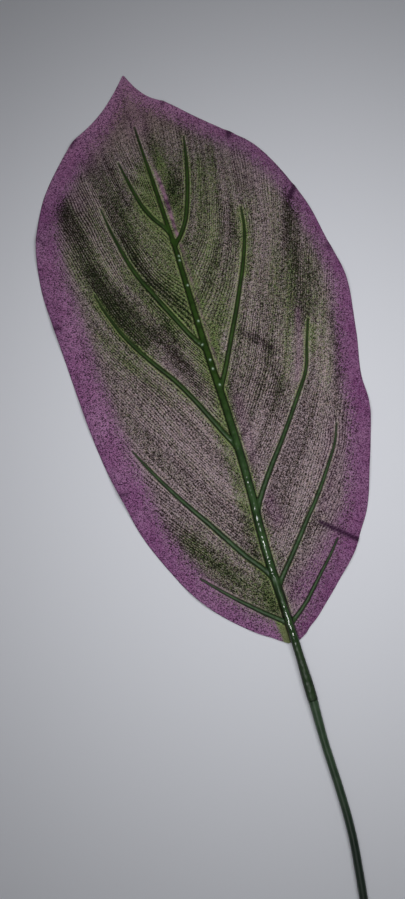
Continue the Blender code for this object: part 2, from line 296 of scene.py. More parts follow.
# %% [markdown]
# ## Waves and rises
# The edge of the real blade waves up and down, and the cloth is drawn up to each rib. Both are soft bumps,
# so they are added as such: a round lift for every place where the edge is off the ground, and a low ridge
# along the ribs. A cloth simulation would also wave the edge, but not at the places where this one does.

# %% Heights of the grid
REST_HEIGHT = 0.08
EDGE_LIFTS = [  # x, y, radius, height
    (44, 26, 15, 1.6), (68, 72, 22, 2.2), (84, 104, 24, 3.0), (94, 186, 28, 3.6), (90, 236, 22, 2.4),
    (72, 287, 24, 2.6), (24, 338, 24, 1.8), (-52, 330, 28, 2.2), (-88, 262, 28, 2.8), (-90, 204, 26, 2.2),
    (-84, 148, 26, 1.8), (-78, 96, 26, 2.6), (-48, 26, 17, 1.6),
]
RIB_RISE, RIB_RISE_REACH = 0.55, 5.0  # how far the cloth comes up to a rib, and over what distance

height = np.full(len(places), REST_HEIGHT)
for lift_x, lift_y, radius, rise in EDGE_LIFTS:
    reach = np.minimum(1, np.hypot(x - lift_x, y - lift_y) / radius)
    height += rise * np.cos(reach * np.pi / 2) ** 2
height += RIB_RISE * np.exp(-((np.maximum(rib_gap, 0) / RIB_RISE_REACH) ** 2))
print(f"waved cloth: {height.min():.2f} to {height.max():.2f} mm")

# %% [markdown]
# ## Creases and ripples
# A few sharp creases come from packing and handling, and slow ripples from the cloth itself. A crease is a
# narrow ridge along a short line, kept as a number of its own too, because its flank is in shade, and that
# shade is painted into the cloth as a darker mark. Ripples are one soft noise, which dies out where a rib holds
# the cloth.

# %% Creases and ripples
CREASES = [  # first end, last end, half width, height
    ((31.5, 53), (49, 37.5), 1.4, 1.2), ((23, 168), (36, 156), 2.2, 0.4), ((28, 98), (37, 88), 2.0, 0.4),
    ((-24, 131), (-30, 104), 2.0, 0.3), ((-12, 182), (-3.4, 170), 2.0, 0.3), ((74, 244), (79, 250), 2.4, 0.8),
    ((50, 295), (53, 299), 2.6, 0.8), ((17, 328), (19, 331), 2.2, 0.6), ((84, 207), (90, 200), 2.2, 0.6),
    ((-44, 318), (-42, 322), 2.6, 0.6), ((-84, 205), (-79, 203), 2.4, 0.6), ((-70, 98), (-66, 97), 2.2, 0.6),
    ((75, 104), (80, 101), 1.8, 0.5), ((-79, 262), (-75, 258), 2.6, 0.5),
]
CREASE_STOP, RIPPLE_STOP = 3, 8  # so near to a rib they start to die out
RIPPLE_HEIGHT, RIPPLE_LENGTH = 0.16, 16.0

# How much painted shade each crease lays on the cloth.
crease = np.zeros(len(places))
for first, last, half_width, rise in CREASES:
    gap, _ = distance_to_line(places, np.array([first, last], dtype=float))
    ridge = np.exp(-((gap / half_width) ** 2))
    height += rise * ridge * np.clip(rib_gap / CREASE_STOP, 0, 1)
    crease = np.maximum(crease, ridge * min(1.0, rise))
ripple = np.array([noise.noise(Vector((px, py, 0)) / RIPPLE_LENGTH) for px, py in places])
height += RIPPLE_HEIGHT * np.clip(rib_gap / RIPPLE_STOP, 0, 1) * (1 + ripple)
print(f"cloth heights: {height.min():.2f} to {height.max():.2f} mm")

# %% [markdown]
# ## Lanes of the grain
# The print isn't painted from a picture. It follows rules, and each rule needs a number at every vertex,
# which the material reads as an attribute. The first is the lane. Fine lines run between two ribs as the
# grain of a leaf does, so each vertex gets its place between them, counted in millimetres from the tip's
# line outwards.

# %% Lanes of the grain
LANE_REACH, ROOT_REACH = 160.0, 12  # how far a rib's line is carried on past its end, and before its root
LEFT_SPACINGS, RIGHT_SPACINGS = (13, 24, 25, 34, 24), (18, 34, 36, 24, 16)


def carried_on(line):
    """A rib's line, continued straight at both of its ends."""
    start = line[0] - (line[1] - line[0]) / np.linalg.norm(line[1] - line[0]) * ROOT_REACH
    end = line[-1] + (line[-1] - line[-2]) / np.linalg.norm(line[-1] - line[-2]) * LANE_REACH
    return np.vstack([start, line[:-1:3], line[-1], end])


def lanes_of(half, spacings):
    """Which lane of the grain each place is in, counted in millimetres from the tip's line."""
    names = ["tip"] + [f"{half}_{k}" for k in (5, 4, 3, 2, 1)]
    above_is = 1 if half == "right" else -1
    gaps, above = [], []
    for name in names:
        gap, side = distance_to_line(places, carried_on(rib_lines[name][0]))
        gaps.append(gap)
        above.append(side * above_is > 0)
    lane = np.zeros(len(places))
    counted = 0.0
    for k, spacing in enumerate(spacings):
        inside = ~above[k] & above[k + 1]
        share = gaps[k] / np.maximum(gaps[k] + gaps[k + 1], 1e-6)
        lane = np.where(inside, counted + spacing * share, lane)
        counted += spacing
    return np.where(~above[-1], counted + gaps[-1], lane)


midline = np.vstack([rib_lines["midrib"][0], rib_lines["tip"][0][8:], [(-1.3, BLADE_TIP + 1)]])
midline_x = np.interp(y, midline[:, 1], midline[:, 0])
on_left = x < midline_x
lane = np.where(on_left, -lanes_of("left", LEFT_SPACINGS), lanes_of("right", RIGHT_SPACINGS))
print(f"lanes: {lane.min():.0f} to {lane.max():.0f} mm")

# %% [markdown]
# ## How strongly the lines show
# On the real print the fine lines are plain in some lanes and faint in others. They give way to mere specks
# towards the tip and calm down beside the lower midrib. Short tables of (place, strength) say so more
# plainly than a formula.

# %% Strength of the fine lines
LINE_FADE = (285.0, 325.0)  # along
LINE_STRENGTHS = [  # lane, strength
    (-130, 0.45), (-98, 0.45), (-88, 0.5), (-62, 0.5), (-40, 0.65), (-13, 0.5), (0, 0.4), (60, 0.42),
    (140, 0.42),
]
CALM_SHARE, CALM_REACH, CALM_TOP, CALM_FADE = 0.75, 14, 115, 25  # beside the lower midrib

combing = np.interp(lane, *zip(*LINE_STRENGTHS)) * np.interp(y, LINE_FADE, (1, 0.2))
beside_midrib = np.exp(-(((x - midline_x) / CALM_REACH) ** 2))
combing *= 1 - CALM_SHARE * beside_midrib * np.clip((CALM_TOP - y) / CALM_FADE, 0, 1)
print(f"fine lines: {combing.min():.2f} to {combing.max():.2f}")

# %% [markdown]
# ## The purple border
# A purple border runs all round the real blade, and its width changes along each side. A constant width
# would look like piping sewn on, so each side has a short table of (along, width). The number kept is how
# far a spot is inside the border, in millimetres, and it is negative beyond it.

# %% Width of the border
LEFT_BORDER = [
    (-3, 5), (30, 8), (60, 10), (110, 14), (170, 14), (220, 15), (255, 12), (277, 9), (295, 12), (320, 11),
    (345, 7.5), (358, 7),
]
RIGHT_BORDER = [
    (-3, 5), (30, 9), (60, 10), (100, 10), (150, 9), (200, 6), (250, 6), (300, 7), (330, 7), (345, 6.5),
    (358, 7),
]
border_width = np.where(on_left, smooth_value(LEFT_BORDER, y), smooth_value(RIGHT_BORDER, y))
border = border_width - edge_gap
print(f"border: {border_width.min():.1f} to {border_width.max():.1f} mm wide")

# %% [markdown]
# ## Green ink
# Inks lie on the cloth as soft strokes along the ribs, as if brushed. Each stroke is a line of places with
# a half width and a strength, and strokes of one ink add up. Green is strongest along the midrib and in the
# upper half, and fades again below the tip.

# %% Green ink
GREEN_STROKES = [
    (((-3, -3), (-5, 30), (-4, 60), (-2, 120), (-3, 200), (-3, 250), (-6, 290)), 5, 0.6),
    (((3, 40), (3, 100)), 3, 0.4), (((3, 100), (3, 250)), 2.5, 0.3), (((-6, 60), (-8, 120)), 3, 0.25),
    (((-25, 235), (-26, 290)), 5, 0.25), (((-58, 190), (-44, 168)), 5, 0.25),
    (((20, 180), (18, 150)), 5, 0.2), (((61, 161), (57.5, 148)), 2.2, 0.4), (((1.5, 310), (3, 288)), 3, 0.4),
    (((2, 130), (4, 190), (6, 240)), 6, 0.25), (((-3, 110), (-25, 155), (-45, 188), (-54, 212)), 4, 0.35),
    (((-4, 35), (-29, 70)), 4, 0.25), (((12, 180), (18, 215), (26, 280)), 9, 0.4),
    (((-9, 190), (-12, 230), (-17, 262)), 8, 0.5), (((-8, 245), (-12, 280)), 5, 0.3),
    (((5, 310), (7, 255)), 5, 0.5), (((34, 205), (40, 225), (43, 243)), 4, 0.5),
    (((-56, 245), (-48, 212), (-34, 185)), 9, 0.35), (((-30, 225), (-15, 182), (-6, 150)), 6, 0.3),
    (((-40, 60), (-25, 40), (-8, 18)), 10, 0.6), (((-8, 9), (-4, -3)), 4, 0.9),
    (((6, 148), (6, 178)), 3, 0.35), (((58, 200), (50, 160), (38, 130)), 12, 0.3),
    (((70, 175), (64, 130)), 7, 0.2), (((-45, 170), (-28, 145)), 7, 0.2),
]
GREEN_FROM, GREEN_FULL, GREEN_UPPER = 110.0, 190.0, 0.30  # the upper half of the blade is greener
GREEN_FADE = (285.0, 325.0)


def strokes(kind, marks):
    """Soft brush strokes: each along a line of places, with a half width and a strength."""
    total = np.zeros(len(places))
    for line, half_width, strength in marks:
        gap, _ = distance_to_line(places, np.array(line, dtype=float))
        total += strength * np.exp(-((gap / half_width) ** 2))
    print(f"{kind}: {len(marks)} strokes, {total.min():.2f} to {total.max():.2f}")
    return total


upper = np.clip((y - GREEN_FROM) / (GREEN_FULL - GREEN_FROM), 0, 1)
green = GREEN_UPPER * upper + strokes("green ink", GREEN_STROKES)
green = np.clip(green * np.interp(y, GREEN_FADE, (1, 0)), 0, 1)

# %% [markdown]
# ## Dark ink
# The darkest streaks are almost black and follow the lanes in the upper half. A stroke with a negative
# strength takes ink away instead, for the paler streaks between them. Small cross strokes near the tip make
# the feathered marks.

# %% Dark ink
DARK_STROKES = [
    (((-60, 285), (-56, 245), (-49, 212), (-38, 182)), 6.5, 0.85), (((-50, 280), (-47, 245)), 5, 0.25),
    (((-53, 232), (-43, 200)), 4.5, 0.6), (((-66, 282), (-62, 262)), 5, 0.3),
    (((-37, 308), (-31, 270), (-26, 238), (-21, 215)), 7, 0.5), (((-21, 215), (-14, 200)), 5, 0.2),
    (((-29, 275), (-24, 235)), 4, 0.35), (((-23, 213), (-19.4, 197), (-15.6, 168), (-11, 141)), 2.3, 0.5),
    (((-23, 185), (-18, 158)), 4.5, 0.5), (((-40, 215), (-28, 182)), 6, 0.5),
    (((-28, 300), (-21, 270)), 5, 0.4), (((-62, 192), (-50, 165), (-38, 143)), 8, 0.25),
    (((-44, 128), (-50, 108)), 8, 0.1), (((22, 138), (30, 118)), 6, 0.3), (((16, 66), (24, 52)), 6, 0.25),
    (((76, 165), (72, 130)), 6, 0.35), (((8, 258), (12, 285)), 5, 0.35), (((30, 290), (46, 262)), 8, -0.05),
    (((40, 158), (42, 140)), 5, -0.2), (((58, 128), (61, 146), (65, 165)), 5.5, -0.4),
    (((22, 170), (36, 156)), 3, 0.6), (((57, 148), (64, 172), (67, 185)), 3, -0.2),
    (((59.6, 162), (66, 180), (72.6, 202)), 1.0, 0.4), (((1, 328), (2, 298)), 8, 0.35),
    (((-12, 212), (-8, 200)), 4, 0.3), (((77, 248), (70, 228), (64, 195), (58, 168)), 6, 0.85),
    (((77, 247), (72, 240)), 2.5, 0.6), (((34, 155), (32, 128)), 3, 0.45), (((4, 262), (8, 276)), 5, 0.45),
    (((-13, 285), (-7, 262)), 5, 0.15), (((8, 235), (14, 205)), 8, 0.2), (((-42, 66), (-22, 40)), 8, 0.32),
    (((-52, 98), (-33, 68)), 4, 0.3), (((-12, 14), (-5, 5)), 4, 0.3), (((24, 215), (38, 250)), 6, 0.25),
    (((36, 287), (47, 262)), 7, 0.3), (((-8, 60), (-6, 14)), 5, 0.3), (((5, 40), (9, 18)), 4, 0.25),
    (((70, 130), (62, 80)), 7, 0.25), (((33, 255), (36, 225)), 5, 0.3), (((5, 145), (7, 125)), 4, 0.25),
    (((-45, 300), (-50, 260)), 6, 0.3), (((10, 24), (22, 30)), 5, 0.2), (((-8, 9), (-4, -2)), 3.5, -0.7),
    (((-3, 262), (-14, 272)), 1.8, 0.4), (((-4, 275), (-15, 285)), 1.8, 0.4),
    (((-5, 288), (-14, 297)), 1.8, 0.35), (((-5, 268), (-14, 278)), 1.6, -0.35),
    (((-4, 281), (-15, 291)), 1.6, -0.3), (((2, 255), (12, 262)), 1.8, -0.3),
    (((3, 266), (12, 274)), 1.8, 0.3), (((0.6, 312), (1.4, 289)), 1.5, 0.35),
]
dark = np.clip(strokes("dark ink", DARK_STROKES), -0.6, 1.2)

# %% [markdown]
# ## Mauve ink
# A few spots inside the blade have the border's purple, mostly where the border widens at the base and at
# the tip. They are strokes as well, so that the same speckle breaks them up as it does the border.

# %% Mauve ink
MAUVE_STROKES = [
    (((10, 20), (28, 34), (46, 50)), 7.5, 1.0), (((16, 14), (36, 34)), 5, 0.5), (((6, 96), (8, 132)), 4, 0.4),
    (((-40, 308), (-30, 318)), 9, 0.6), (((-52, 296), (-48, 280)), 6, 0.4), (((0, 345), (-2, 320)), 9, 0.5),
    (((56.5, 173), (51.4, 153), (43.6, 133)), 1.8, 0.6), (((8, 74), (10, 60)), 4, 0.45),
    (((43, 70), (36, 60)), 4, 0.4), (((55, 262), (48, 290)), 7, 0.3), (((-20, 150), (-26, 165)), 3, 0.3),
    (((56, 100), (46, 78)), 6, 0.35),
]
mauve = np.clip(strokes("mauve ink", MAUVE_STROKES), 0, 1)

# %% [markdown]
# ## The stripe and the tab
# Along the upper midrib the print has one narrow mauve stripe that wanders from the rib's right side to its
# middle. At the base a small tab of the cloth is left olive, without the border. Both are narrow bands
# about a line, so one bell curve each is enough.

# %% Stripe and tab
STRIPE_WIDTH = 0.95
STRIPE_STRENGTH = [  # along, strength
    (140, 0.0), (150, 0.3), (232, 0.35), (240, 0.9), (278, 1.0), (290, 0.15), (300, 0), (400, 0),
]
STRIPE_PLACES = [  # along, across
    (150, 3.2), (161, 2.7), (178, 2.4), (217, 2.5), (234, 2.7), (247, 2.3), (268, 2.2), (285, 0.9), (300, 0),
]
TAB_X, TAB_WIDTH, TAB_TOP, TAB_FADE = -4.0, 1.7, 7, 3
BARE_WIDTH, BARE_TOP, BARE_DEPTH = 2.1, 10, 20  # where the tab keeps the border off

stripe_x = np.interp(y, *zip(*STRIPE_PLACES))
stripe = np.exp(-(((x - stripe_x) / STRIPE_WIDTH) ** 2)) * np.interp(y, *zip(*STRIPE_STRENGTH))
tab = np.exp(-(((x - TAB_X) / TAB_WIDTH) ** 4)) * np.clip((TAB_TOP - y) / TAB_FADE, 0, 1)
border -= BARE_DEPTH * np.exp(-(((x - TAB_X) / BARE_WIDTH) ** 2)) * (y < BARE_TOP)
print(f"stripe: up to {stripe.max():.2f}, tab: up to {tab.max():.2f}")

# %% [markdown]
# ## From numbers to a mesh
# The grid's places and heights become vertices, and its squares become faces. The numbers for the print are
# stored with the vertices, under a name each. A painted picture could hold them too, but it would need
# unwrapping and would have one fixed resolution.

# %% Build the cloth
def store(mesh, **values):
    """Keep numbers on a mesh's vertices, each under its name."""
    for name, numbers in values.items():
        layer = mesh.attributes.new(name, "FLOAT", "POINT")
        layer.data.foreach_set("value", np.asarray(numbers, dtype=np.float32))


row = CLOTH_COLUMNS + 1
squares = [(j * row + i, j * row + i + 1, (j + 1) * row + i + 1, (j + 1) * row + i)
           for j in range(CLOTH_ROWS) for i in range(CLOTH_COLUMNS)]
cloth_mesh = bpy.data.meshes.new("cloth_blade")
cloth_mesh.from_pydata(np.column_stack([x, y, height]) * MM, [], squares)
cloth_mesh.shade_smooth()
store(cloth_mesh, lane=lane, border=border, rib_gap=rib_gap, green_ink=green, dark_ink=dark,
      mauve_ink=mauve, stripe=stripe, tab=tab, crease=crease, along=y, combing=combing)
print("cloth:", len(squares), "squares,", len(cloth_mesh.attributes), "attributes")

# %% [markdown]
# ## Colours and nodes
# A material is a small graph of nodes, and a colour as a screen shows it isn't the number that a shader
# reckons with. Two helpers keep the graphs short to write. One turns a screen colour into a linear one. The
# other adds a node and sets its inputs, from plain numbers or from the outputs of other nodes.

# %% Colours and nodes
def linear(red, green, blue):
    """A screen colour, 0 to 255, as the linear colour with alpha that a socket takes."""
    shares = (np.array([red, green, blue]) / 255 + 0.055) / 1.055
    return (*(shares**2.4), 1.0)


def add_node(material, kind, inputs=None, **settings):
    """Add a node, set its properties, and set or link its inputs by name or number."""
    made = material.node_tree.nodes.new(kind)
    for name, value in settings.items():
        setattr(made, name, value)
    for key, value in (inputs or {}).items():
        if isinstance(value, bpy.types.NodeSocket):
            material.node_tree.links.new(value, made.inputs[key])
        else:
            made.inputs[key].default_value = value
    return made


print("a screen's mid grey is", round(linear(128, 128, 128)[0], 3), "of its white light")

# %% [markdown]
# ## Sums, ramps and blends
# A print is built from three moves: reckon with numbers, turn a number into a share between 0 and 1, and
# mix two colours by a share. Each is one node with many sockets, so each gets a helper that asks for only
# what matters. The print's material is made here too.

# %% Sums, ramps and blends
def calculate(material, operation, *terms):
    """The result of a Math node."""
    return add_node(material, "ShaderNodeMath", dict(enumerate(terms)), operation=operation).outputs[0]


def ramp(material, value, low, high, to_low=0.0, to_high=1.0):
    """Turn a value smoothly from to_low, at or below low, into to_high, at or above high."""
    inputs = {"Value": value, "From Min": low, "From Max": high, "To Min": to_low, "To Max": to_high}
    kind = "ShaderNodeMapRange"
    return add_node(material, kind, inputs, interpolation_type="SMOOTHSTEP").outputs["Result"]


def blend_colours(material, share, first, second):
    """Mix two colours by a share."""
    mix = add_node(material, "ShaderNodeMix", data_type="RGBA")
    sockets = {name: [s for s in mix.inputs if s.name == name and s.type == "RGBA"][0] for name in "AB"}
    for name, colour in zip("AB", (first, second)):
        if isinstance(colour, bpy.types.NodeSocket):
            material.node_tree.links.new(colour, sockets[name])
        else:
            sockets[name].default_value = colour
    material.node_tree.links.new(share, mix.inputs[0])
    return [s for s in mix.outputs if s.type == "RGBA"][0]


def lay_over(material, colour, *layers):
    """Mix further colours over a first one, each by its own share."""
    for share, layer in layers:
        colour = blend_colours(material, share, colour, layer)
    return colour


def read_attribute(material, name):
    """A number that the mesh stores at its vertices."""
    return add_node(material, "ShaderNodeAttribute", attribute_name=name).outputs["Fac"]


cloth, cloth_shader = new_finish("leaf_print", 0.85)
lane_mm, along_mm = read_attribute(cloth, "lane"), read_attribute(cloth, "along")
border_mm, rib_mm = read_attribute(cloth, "border"), read_attribute(cloth, "rib_gap")
print(cloth.name, "reads lanes and distances:", len(cloth.node_tree.nodes), "nodes")

# %% [markdown]
# ## The print on the cloth
# The real cloth is white, and its pattern comes off a printing roller as dots of ink. Close up it is a
# speckle of dark specks on a mauve or green ground, and only from afar does it read as leaf. The same holds
# here: small random cells, each under half a millimetre, decide how much of the dark ink each spot takes. A
# picture wrapped round the blade would be quicker, but it blurs close up and has only one size.

# %% Speckle
GRAIN_SIZE = 0.44 * MM
SWING_ALONG, DOTS_SWING = (230.0, 345.0), (0.84, 0.65)  # the specks differ less near the tip


def surface_places(material):
    """The place of each spot, in metres, in the frame of its object."""
    return add_node(material, "ShaderNodeTexCoord").outputs["Object"]


def swing(value):
    """A number about 0.5 in the print's graph, moved to be about 0."""
    return calculate(cloth, "SUBTRACT", value, 0.5)


cloth_places = surface_places(cloth)
cells = add_node(cloth, "ShaderNodeTexVoronoi", {"Vector": cloth_places, "Scale": 1 / GRAIN_SIZE},
                 voronoi_dimensions="2D").outputs["Color"]
dots, tints, browns = add_node(cloth, "ShaderNodeSeparateColor", {0: cells}).outputs
dots_swing = calculate(cloth, "MULTIPLY", swing(dots), ramp(cloth, along_mm, *SWING_ALONG, *DOTS_SWING))
print("speckle: cells of", GRAIN_SIZE / MM, "mm")

# %% [markdown]
# ## Fine lines along the lanes
# Between the ribs the print is combed into fine lines a little over a millimetre apart. A sine wave across
# the lanes draws them. Left alone it would look ruled, so one stretched noise bends the lines and another
# makes them swell and fade.

# %% Fine lines
LINE_PITCH, LINE_WANDER = 1.12, 16.0  # in lane millimetres, and in radians
LINE_DEPTHS = (0.16, 0.46)  # where they fade and where they swell


def grain_noise(across_size, along_size):
    """Soft noise about 0.5 whose marks follow the grain and are so many millimetres across and along."""
    marks = {"X": calculate(cloth, "DIVIDE", lane_mm, across_size),
             "Y": calculate(cloth, "DIVIDE", along_mm, along_size)}
    stretched = add_node(cloth, "ShaderNodeCombineXYZ", marks).outputs[0]
    inputs = {"Vector": stretched, "Scale": 1.0, "Detail": 1.0}
    return add_node(cloth, "ShaderNodeTexNoise", inputs, noise_dimensions="2D").outputs[0]


straight_turn = calculate(cloth, "MULTIPLY", lane_mm, 2 * math.pi / LINE_PITCH)
line_turn = calculate(cloth, "MULTIPLY_ADD", grain_noise(9.0, 30.0), LINE_WANDER, straight_turn)
line_depth = ramp(cloth, grain_noise(14.0, 60.0), 0.35, 0.6, *LINE_DEPTHS)
line_depth = calculate(cloth, "MULTIPLY", line_depth, read_attribute(cloth, "combing"))
print("fine lines:", LINE_PITCH, "mm apart")

# %% [markdown]
# ## How dark each spot is
# The darkness of a spot is a plain sum: a base, the dark strokes, streaks of three sizes that run with the
# grain, and the fine lines. Beside a rib the colour is made paler and greener, in a narrow halo. The speckle is
# added last, and the sum then says how much ink the spot takes.

# %% Darkness of the print
DARK_ALONG, DARK_BASE = (140.0, 260.0), (0.60, 0.56)
DARK_STROKE_SHARE = 0.42
STREAKS = ((1.3, 90.0, 0.24), (3.6, 150.0, 0.36), (9.0, 200.0, 0.30))  # mm across, mm along, share
HALO_REACH, HALO_STRENGTH = (0.7, 1.7), 0.28

halo = ramp(cloth, rib_mm, *HALO_REACH, HALO_STRENGTH, 0.0)
darkness = calculate(cloth, "MULTIPLY_ADD", read_attribute(cloth, "dark_ink"), DARK_STROKE_SHARE,
                     ramp(cloth, along_mm, *DARK_ALONG, *DARK_BASE))
for across_size, along_size, share in STREAKS:
    darkness = calculate(cloth, "MULTIPLY_ADD", swing(grain_noise(across_size, along_size)), share, darkness)
darkness = calculate(cloth, "MULTIPLY_ADD", calculate(cloth, "SINE", line_turn), line_depth, darkness)
darkness = calculate(cloth, "SUBTRACT", darkness, halo)
ink = ramp(cloth, calculate(cloth, "ADD", dots_swing, darkness), 0.0, 1.0)
print("darkness:", len(STREAKS), "sizes of streaks")

# %% [markdown]
# ## Ground and ink
# Two colours share the ground, mauve and green, and a number for greenness mixes them: the green strokes,
# the halo, long streaks, and a swing from cell to cell. Some cells turn brown, the ground turns purple
# towards the border, and it is tan at the tip. The ink leans brown or green with its ground, as overprinted
# inks do.

# %% Ground and ink
GREEN_STREAKS, GREEN_SPECKS = 0.7, 0.80  # how much each swings the greenness
MAUVE_GROUND, GREEN_GROUND = linear(186, 166, 175), linear(126, 148, 88)
BROWN_CELL, BORDER_GROUND, TIP_GROUND = linear(170, 138, 122), linear(158, 116, 152), linear(168, 146, 128)
BROWN_INK, GREEN_INK = linear(32, 22, 20), linear(18, 30, 10)

greenness = calculate(cloth, "ADD", read_attribute(cloth, "green_ink"), halo)
greenness = calculate(cloth, "MULTIPLY_ADD", swing(grain_noise(4.5, 170.0)), GREEN_STREAKS, greenness)
greenness = calculate(cloth, "MULTIPLY_ADD", swing(tints), GREEN_SPECKS, greenness)
greenness = ramp(cloth, greenness, -0.1, 1.1)
ground = lay_over(
    cloth, MAUVE_GROUND, (greenness, GREEN_GROUND),
    (ramp(cloth, browns, 0.45, 1.0, 0.0, 0.45), BROWN_CELL),
    (ramp(cloth, border_mm, -10.0, 1.0, 0.0, 0.6), BORDER_GROUND),
    (ramp(cloth, along_mm, 290.0, 335.0, 0.0, 0.5), TIP_GROUND))
inside = blend_colours(cloth, ink, ground, blend_colours(cloth, greenness, BROWN_INK, GREEN_INK))
print("inside of the blade:", len(cloth.node_tree.nodes), "nodes so far")

# %% [markdown]
# ## Purple of the border
# The border's purple isn't even either. Clouds about two centimetres wide make it lighter and darker, it is
# pinker at the tip and browner on the right. On the left the real one is paler with blacker specks, so a
# share for that stretch is worked out from the lane, the border and the place along the leaf.

# %% Purple of the border
DEEP_PURPLE, PALE_PURPLE = linear(134, 76, 128), linear(158, 112, 152)
TIP_PINK, RIGHT_BROWN, LEFT_PALE = linear(222, 164, 200), linear(90, 58, 66), linear(204, 150, 190)
PURPLE_DOT, BLACK_DOT, LIGHT_DOT = linear(72, 34, 68), linear(34, 16, 30), linear(176, 132, 176)


def clouds(material, places, scale, detail):
    """Soft noise about 0.5, with so many marks to a metre."""
    inputs = {"Vector": places, "Scale": scale, "Detail": detail}
    return add_node(material, "ShaderNodeTexNoise", inputs).outputs[0]


blotches = clouds(cloth, cloth_places, 60.0, 3.0)
speckled = calculate(cloth, "MULTIPLY", ramp(cloth, lane_mm, -72.0, -62.0, 1.0, 0.0),
                     ramp(cloth, border_mm, 5.0, 20.0, 1.0, 0.0))
speckled = calculate(cloth, "MULTIPLY", speckled, ramp(cloth, along_mm, 60.0, 160.0, 0.3, 1.0))
purple = lay_over(
    cloth, DEEP_PURPLE, (ramp(cloth, blotches, 0.30, 0.75), PALE_PURPLE),
    (ramp(cloth, along_mm, 260.0, 345.0, 0.0, 0.45), TIP_PINK),
    (ramp(cloth, lane_mm, 5.0, 60.0, 0.0, 0.22), RIGHT_BROWN),
    (calculate(cloth, "MULTIPLY", speckled, 0.33), LEFT_PALE),
    (ramp(cloth, dots, 0.15, 0.95), blend_colours(cloth, speckled, PURPLE_DOT, BLACK_DOT)),
    (ramp(cloth, tints, 0.6, 1.0, 0.0, 0.45), LIGHT_DOT))
print("purple:", len(cloth.node_tree.nodes), "nodes so far")

# %% [markdown]
# ## Where the border ends
# A hard edge between the two inks would look cut out. So each cell moves the edge in or out by a few
# millimetres of its own, which breaks the border up into specks at its inner side, and the mauve strokes
# are mixed in by the same cells.

# %% Inner side of the border
EDGE_SWING = 9.0  # mm from cell to cell
uneven_border = calculate(cloth, "MULTIPLY_ADD", swing(tints), EDGE_SWING, border_mm)
mauve_cells = ramp(cloth, tints, 0.2, 0.8, 0.2, 0.9)
mauve_share = calculate(cloth, "MULTIPLY", read_attribute(cloth, "mauve_ink"), mauve_cells)
purple_share = calculate(cloth, "MAXIMUM", ramp(cloth, uneven_border, -2.5, 2.5), mauve_share)
printed = blend_colours(cloth, purple_share, inside, purple)
print("border edge swings by", EDGE_SWING, "mm")

# %% [markdown]
# ## Stripe, creases, tab and the ribs' edges
# Four small things lie over the print, each mixed in by its own number: the clouded stripe beside the
# midrib, painted shade over a crease, the olive tab, and a thin line of painted shade where the cloth meets a
# rib.

# %% Marks over the print
STRIPE_DARK, STRIPE_PALE = linear(84, 48, 80), linear(172, 128, 156)
CREASE_SHADE, RIB_SHADE = linear(46, 20, 46), linear(24, 26, 14)
OLIVE_PALE, OLIVE_DARK, TAB_SHARE = linear(120, 128, 88), linear(96, 100, 66), 0.85

stripe_clouds = clouds(cloth, cloth_places, 280.0, 2.0)
stripe_ink = blend_colours(cloth, ramp(cloth, stripe_clouds, 0.38, 0.62), STRIPE_DARK, STRIPE_PALE)
tab_share = calculate(cloth, "MULTIPLY", read_attribute(cloth, "tab"), TAB_SHARE)
marked = lay_over(
    cloth, printed, (read_attribute(cloth, "stripe"), stripe_ink),
    # painted shade over the creases
    (ramp(cloth, read_attribute(cloth, "crease"), 0.1, 1.0), CREASE_SHADE),
    (tab_share, blend_colours(cloth, tints, OLIVE_PALE, OLIVE_DARK)),
    # painted shade where the cloth meets a rib
    (ramp(cloth, rib_mm, 0.2, 0.65, 0.75, 0.0), RIB_SHADE))
print("print:", len(cloth.node_tree.nodes), "nodes")

# %% [markdown]
# ## The weave
# The cloth is woven, which shows only close up. Threads as geometry would take millions of faces, so two
# crossed sine waves tilt the surface instead. Woven cloth hardly shines, so its specular level is low.

# %% Weave of the cloth
WEAVE_PITCH, WEAVE_DEPTH = 0.7 * MM, 0.04 * MM


def add_bump(material, shader, height, strength, depth):
    """Let a height from the nodes, 0 to 1, tilt the surface by a share of a depth in metres."""
    inputs = {"Height": height, "Strength": strength, "Distance": depth}
    bump = add_node(material, "ShaderNodeBump", inputs)
    material.node_tree.links.new(bump.outputs["Normal"], shader.inputs["Normal"])


def plug(material, output, shader, name):
    """Feed the output of a node into one input of the shader."""
    material.node_tree.links.new(output, shader.inputs[name])


ways = add_node(cloth, "ShaderNodeSeparateXYZ", {0: cloth_places}).outputs[:2]
threads = [calculate(cloth, "SINE", calculate(cloth, "MULTIPLY", way, 2 * math.pi / WEAVE_PITCH))
           for way in ways]
weave = calculate(cloth, "MULTIPLY_ADD", calculate(cloth, "MULTIPLY", *threads), 0.5, 0.5)
add_bump(cloth, cloth_shader, weave, 0.5, WEAVE_DEPTH)
plug(cloth, marked, cloth_shader, "Base Color")
cloth_shader.inputs["Specular IOR Level"].default_value = 0.15
print("weave:", WEAVE_PITCH / MM, "mm pitch")

# %% [markdown]
# ## The finished blade
# The grid has no thickness yet. A Solidify modifier gives it the cloth's, upwards, so that the underside
# stays where it was measured. The piece then rides on the leaf's body and takes the place of the plain
# solid.

# %% Put the blade in
CLOTH_THICKNESS = 0.4


def new_piece(name, mesh, material, *stands_for):
    """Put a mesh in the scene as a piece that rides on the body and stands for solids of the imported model."""
    piece = bpy.data.objects.new(name, mesh)
    bpy.context.scene.collection.objects.link(piece)
    mesh.materials.append(material)
    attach(piece, "root")
    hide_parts(*stands_for)
    return piece


blade = new_piece("cloth_blade", cloth_mesh, cloth, "blade")
shell = blade.modifiers.new("thickness", "SOLIDIFY")
shell.thickness, shell.offset = CLOTH_THICKNESS * MM, 1.0
print("blade:", CLOTH_THICKNESS, "mm thick")

# %% [markdown]
# ## The moulded ribs
# On the real leaf the midrib, its side ribs and the stalk are one moulding, so the forks have soft webs, as
# the mould was cut with a round tool. Bars that just cross would show hard seams. So each rib is swept as a
# bar first, and all the bars are melted together after that. A sweep is a row of rings of equally many
# points, joined by faces.

